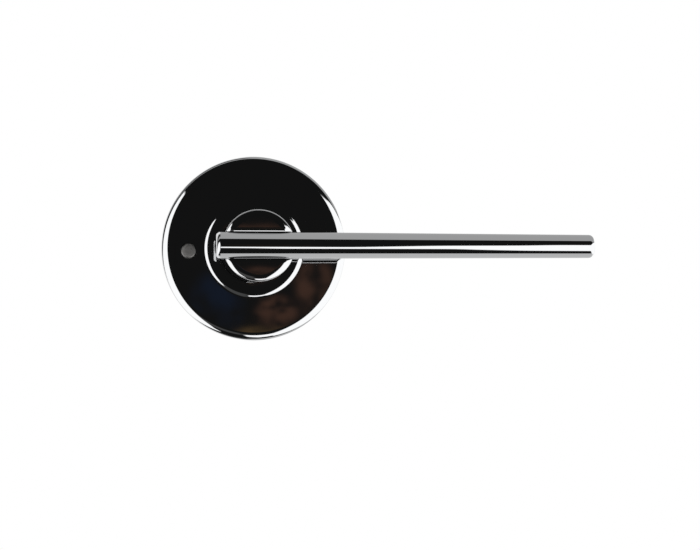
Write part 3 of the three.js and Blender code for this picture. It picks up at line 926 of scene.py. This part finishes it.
def button_spring():
    """The button's coil spring."""
    turns, radius, wire, bottom, top = 5, 4.05, 0.3, 1.8, 7.7
    points = []
    for i in range(turns * 40 + 1):
        share = i / (turns * 40)
        a = 2 * math.pi * turns * share
        height = bottom + share * (top - bottom)
        points.append((BUTTON_X + radius * math.cos(a), BUTTON_Y + radius * math.sin(a), height))
    return finish_piece(swept("coil_spring", points, wire, 14), "button_spring", "rose", SPRING, 50)


rose_cover()
neck_collar()
for number, clip_angle in enumerate(CLIP_ANGLES, 1):
    cover_clip(number, clip_angle)
mounting_plate()
plate_bearing()
fixing_bolt("upper", BOLT_Y)
fixing_bolt("lower", -BOLT_Y)
return_spring()
lever_neck()
lever_bar()
bar_screw()
spindle()
grub_screw()
wave_spring_washer()
circlip_ring()
privacy_button()
privacy_pin()
button_guide()
button_spring()

for driver_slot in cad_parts["spring_driver"].material_slots:
    driver_slot.material = PLATED_STEEL

# ---- Studio --------------------------------------------------------------------------------------


# Outlines in front of the handle, as lines of corners (across, up). Each is a slope off the axis in front,
# and the inside is on the left of every stretch.
LEFT_PANEL = [
    (-0.73, -1.57),
    (-0.31, -0.95),
    (-0.145, -0.33),
    (-0.157, 0),
    (-0.21, 0.24),
    (-0.55, 0.55),
    (-1.6, 0.36),
]
RIGHT_TOP = [(2.6, 1.15), (0.95, 0.53), (0.24, 0.18)]
RIGHT_SIDE = [
    (0.24, 0.18),
    (0.215, 0.08),
    (0.2, -0.1),
    (0.2, -0.56),
    (0.235, -0.75),
    (0.31, -1.02),
    (1.3, -2.17),
]
RIGHT_STRIP = [(0.22, 0.08), (0.165, -0.02), (0.12, -0.3)]
BULGE = [(0.2, -0.27), (0.02, -0.27), (0.02, -0.41)]
FOOT_SIDE = [(0.02, -0.41), (0.12, -0.57)]
FOOT_END = [(0.1, -0.57), (0.3, -0.59)]
SILL = [(-0.16, -0.3), (0.02, -0.3), (0.02, -0.165), (-0.16, -0.165), (-0.16, -0.3)]

# Brown patches of the dim room: across, up, half width, half height, how finely broken up, and a seed.
WARM_PATCHES = (
    (0.087, 0.01, 0.012, 0.017, 1.3, 1),
    (0.066, -0.004, 0.013, 0.01, 1.6, 3),
    (0.055, 0.0429, 0.018, 0.0017, 1.4, 5),
    (0.055, 0.017, 0.017, 0.0045, 1.4, 8),
)
BLUE_PATCH = (0.033, 0.0, 0.016, 0.02, 1, 2)
AMBER_PATCH = (0.06, -0.015, 0.019, 0.0035, 1.2, 4)

# The ceiling and the table are bounded by planes through the handle. Each is a normal towards the inside
# and how soft the edge is.
CEILING_SIDES = (((0, 1.42, 1), 0.03), ((0.36, 0, 1), 0.02), ((-0.45, 0, 1), 0.02))
TABLE_SIDES = (((0, 4.3, -1), 0.02), ((-0.84, 0, -1), 0.02), ((0.4, 0, -1), 0.02))

# Where things begin and end, in degrees off the axis in front.
FRONT_END = (70, 85)
BEHIND_START = (95, 125)
PANELS_END = (115, 140)
FAR_BACK_START = (150, 165)

DARK = 0.0105
BROWN = (0.077, 0.04, 0.028)
AMBER = (0.12, 0.075, 0.035)
BLUE = (0.0115, 0.017, 0.031)
SILL_LEVEL = 0.09
BEHIND_LEVEL = 1.25
FAR_BACK_LEVEL = 0.7
CEILING_LEVEL = 0.555
TABLE_LEVEL = 0.77
PANEL_LEVEL = 1.72


def grey(level):
    """A grey as red, green and blue."""
    return (level, level, level)


def studio_world():
    """A white room as the camera sees it. In reflections it is a dark room in front of the handle with white
    panels to the left and right, a dim sill between them, a grey ceiling far overhead and a pale table far
    below. Round the back of the handle it is bright, and grey straight behind."""
    world = bpy.data.worlds.new("studio")
    bpy.context.scene.world = world
    world.use_nodes = True
    tree = world.node_tree
    nodes, link = tree.nodes, tree.links.new
    nodes.clear()

    def math_node(operation, first, second=None):
        made = nodes.new("ShaderNodeMath")
        made.operation = operation
        for socket, value in zip(made.inputs, (first, second)):
            if isinstance(value, bpy.types.NodeSocket):
                link(value, socket)
            elif value is not None:
                socket.default_value = value
        return made.outputs[0]

    def smooth(value, low, high):
        made = nodes.new("ShaderNodeMapRange")
        made.interpolation_type = "SMOOTHSTEP"
        made.inputs[1].default_value = low
        made.inputs[2].default_value = high
        link(value, made.inputs[0])
        return made.outputs[0]

    coordinates = nodes.new("ShaderNodeTexCoord")
    parts = nodes.new("ShaderNodeSeparateXYZ")
    link(coordinates.outputs["Generated"], parts.inputs[0])
    east, north, up = parts.outputs
    forward = math_node("MULTIPLY", north, -1)
    off_axis = math_node("MULTIPLY", math_node("ARCCOSINE", forward), 180 / math.pi)

    def side(normal, soft):
        """1 on the side of a plane through the handle that its normal points to, and 0 on the other."""
        made = nodes.new("ShaderNodeVectorMath")
        made.operation = "DOT_PRODUCT"
        made.inputs[1].default_value = Vector(normal).normalized()
        link(coordinates.outputs["Generated"], made.inputs[0])
        return smooth(made.outputs["Value"], -soft, soft)

    def inside(corners, soft=0.008):
        """1 left of every stretch of a line of corners, each a slope (across, up) off the axis in front."""
        sides = []
        for first, second in zip(corners, corners[1:]):
            way = Vector((first[0], -1, first[1])).cross(Vector((second[0], -1, second[1])))
            sides.append(side(way, soft))
        return sides

    def every(sides):
        """1 where all are 1."""
        whole = sides[0]
        for one in sides[1:]:
            whole = math_node("MULTIPLY", whole, one)
        return whole

    slopes = nodes.new("ShaderNodeCombineXYZ")
    link(math_node("DIVIDE", east, math_node("MAXIMUM", forward, 0.1)), slopes.inputs["X"])
    link(math_node("DIVIDE", up, math_node("MAXIMUM", forward, 0.1)), slopes.inputs["Y"])

    def patch(across, along, half_width, half_height, grain, seed):
        """A blotchy patch of the dim room in front: where it is, its size, and how finely it is broken up."""
        mapped = nodes.new("ShaderNodeMapping")
        mapped.vector_type = "TEXTURE"
        mapped.inputs["Location"].default_value = (across, along, 0)
        mapped.inputs["Scale"].default_value = (half_width, half_height, 1)
        link(slopes.outputs[0], mapped.inputs["Vector"])
        length = nodes.new("ShaderNodeVectorMath")
        length.operation = "LENGTH"
        link(mapped.outputs[0], length.inputs[0])
        cloud = nodes.new("ShaderNodeTexNoise")
        cloud.inputs["Scale"].default_value = grain
        cloud.inputs["Detail"].default_value = 3
        shifted = nodes.new("ShaderNodeVectorMath")
        shifted.inputs[1].default_value = (seed, seed, seed)
        link(mapped.outputs[0], shifted.inputs[0])
        link(shifted.outputs[0], cloud.inputs["Vector"])
        round_edge = math_node("SUBTRACT", 1, smooth(length.outputs["Value"], 0.6, 1.15))
        return math_node("MULTIPLY", round_edge, smooth(cloud.outputs["Fac"], 0.3, 0.62))

    tint = patch(*WARM_PATCHES[0])
    for place in WARM_PATCHES[1:]:
        tint = math_node("MAXIMUM", tint, patch(*place))
    shade = patch(*BLUE_PATCH)
    glow = patch(*AMBER_PATCH)
    near = math_node("SUBTRACT", 1, smooth(off_axis, *PANELS_END))
    behind = smooth(off_axis, *BEHIND_START)
    far_back = smooth(off_axis, *FAR_BACK_START)
    top = inside(RIGHT_TOP)
    foot_end = inside(FOOT_END)
    sill = every(inside(SILL, 0.02))
    panels = every(inside(LEFT_PANEL))
    right_parts = (
        top + inside(RIGHT_SIDE),
        top + inside(RIGHT_STRIP) + foot_end,
        inside(BULGE) + inside(FOOT_SIDE) + foot_end,
    )
    for part in right_parts:
        panels = math_node("MAXIMUM", panels, every(part))
    panels = math_node("MULTIPLY", panels, near)
    front = math_node("SUBTRACT", 1, smooth(off_axis, *FRONT_END))
    kept = math_node("MAXIMUM", front, side((1, 0, 0), 0.05))
    ceiling = every([side(*plane) for plane in CEILING_SIDES] + [kept])
    table = every([side(*plane) for plane in TABLE_SIDES] + [kept])

    def painted(base, factor, color):
        made = nodes.new("ShaderNodeMix")
        made.data_type = "RGBA"
        if isinstance(base, bpy.types.NodeSocket):
            link(base, made.inputs[6])
        else:
            made.inputs[6].default_value = (*base, 1)
        link(factor, made.inputs[0])
        made.inputs[7].default_value = (*color, 1)
        return made.outputs[2]

    seen = painted(grey(DARK), tint, BROWN)
    seen = painted(seen, glow, AMBER)
    seen = painted(seen, shade, BLUE)
    seen = painted(seen, sill, grey(SILL_LEVEL))
    seen = painted(seen, behind, grey(BEHIND_LEVEL))
    seen = painted(seen, far_back, grey(FAR_BACK_LEVEL))
    seen = painted(seen, ceiling, grey(CEILING_LEVEL))
    seen = painted(seen, table, grey(TABLE_LEVEL))
    seen = painted(seen, panels, grey(PANEL_LEVEL))

    reflected = nodes.new("ShaderNodeBackground")
    link(seen, reflected.inputs["Color"])
    direct = nodes.new("ShaderNodeBackground")
    direct.inputs["Color"].default_value = (1, 1, 1, 1)
    rays = nodes.new("ShaderNodeLightPath")
    chosen = nodes.new("ShaderNodeMixShader")
    link(rays.outputs["Is Camera Ray"], chosen.inputs[0])
    link(reflected.outputs[0], chosen.inputs[1])
    link(direct.outputs[0], chosen.inputs[2])
    output = nodes.new("ShaderNodeOutputWorld")
    link(chosen.outputs[0], output.inputs["Surface"])


def pale_floor():
    """A plain pale floor well below the handle, out of its reflections."""
    bm = bmesh.new()
    bmesh.ops.create_circle(bm, cap_ends=True, radius=0.55, segments=96)
    mesh = bpy.data.meshes.new("floor")
    bm.to_mesh(mesh)
    bm.free()
    floor = bpy.data.objects.new("floor", mesh)
    floor.location = (0.04, 0, -0.25)
    bpy.context.scene.collection.objects.link(floor)
    floor.visible_glossy = False
    shader = Shader("floor_paint", (0.9, 0.9, 0.9), 0, 0.9)
    grain = shader.noise(shader.place(), 40, 3)
    shader.color(shader.mixed(grain, (0.88, 0.88, 0.88), (0.92, 0.92, 0.92)))
    floor.data.materials.append(shader.material)


def soft_light():
    """A wide soft light overhead for whatever isn't bare metal, which only needs the room's reflections."""
    data = bpy.data.lights.new("soft_light", "AREA")
    data.shape = "DISK"
    data.size = 2
    data.energy = 20
    light = bpy.data.objects.new("soft_light", data)
    light.location = (0, -0.3, 1.3)
    light.visible_glossy = False
    light.visible_camera = False
    bpy.context.scene.collection.objects.link(light)


def main_camera():
    """The camera stands a little left of the neck and below it, and is turned towards the lever."""
    data = bpy.data.cameras.new("camera")
    data.lens = 93.19
    data.sensor_width = 36
    camera = bpy.data.objects.new("camera", data)
    camera.location = (-0.03669, -0.7, -0.02166)
    camera.rotation_euler = (math.radians(90.958), 0, math.radians(-6.0855))
    bpy.context.scene.collection.objects.link(camera)
    bpy.context.scene.camera = camera


studio_world()
pale_floor()
soft_light()
main_camera()
bpy.context.scene.view_settings.view_transform = "Standard"
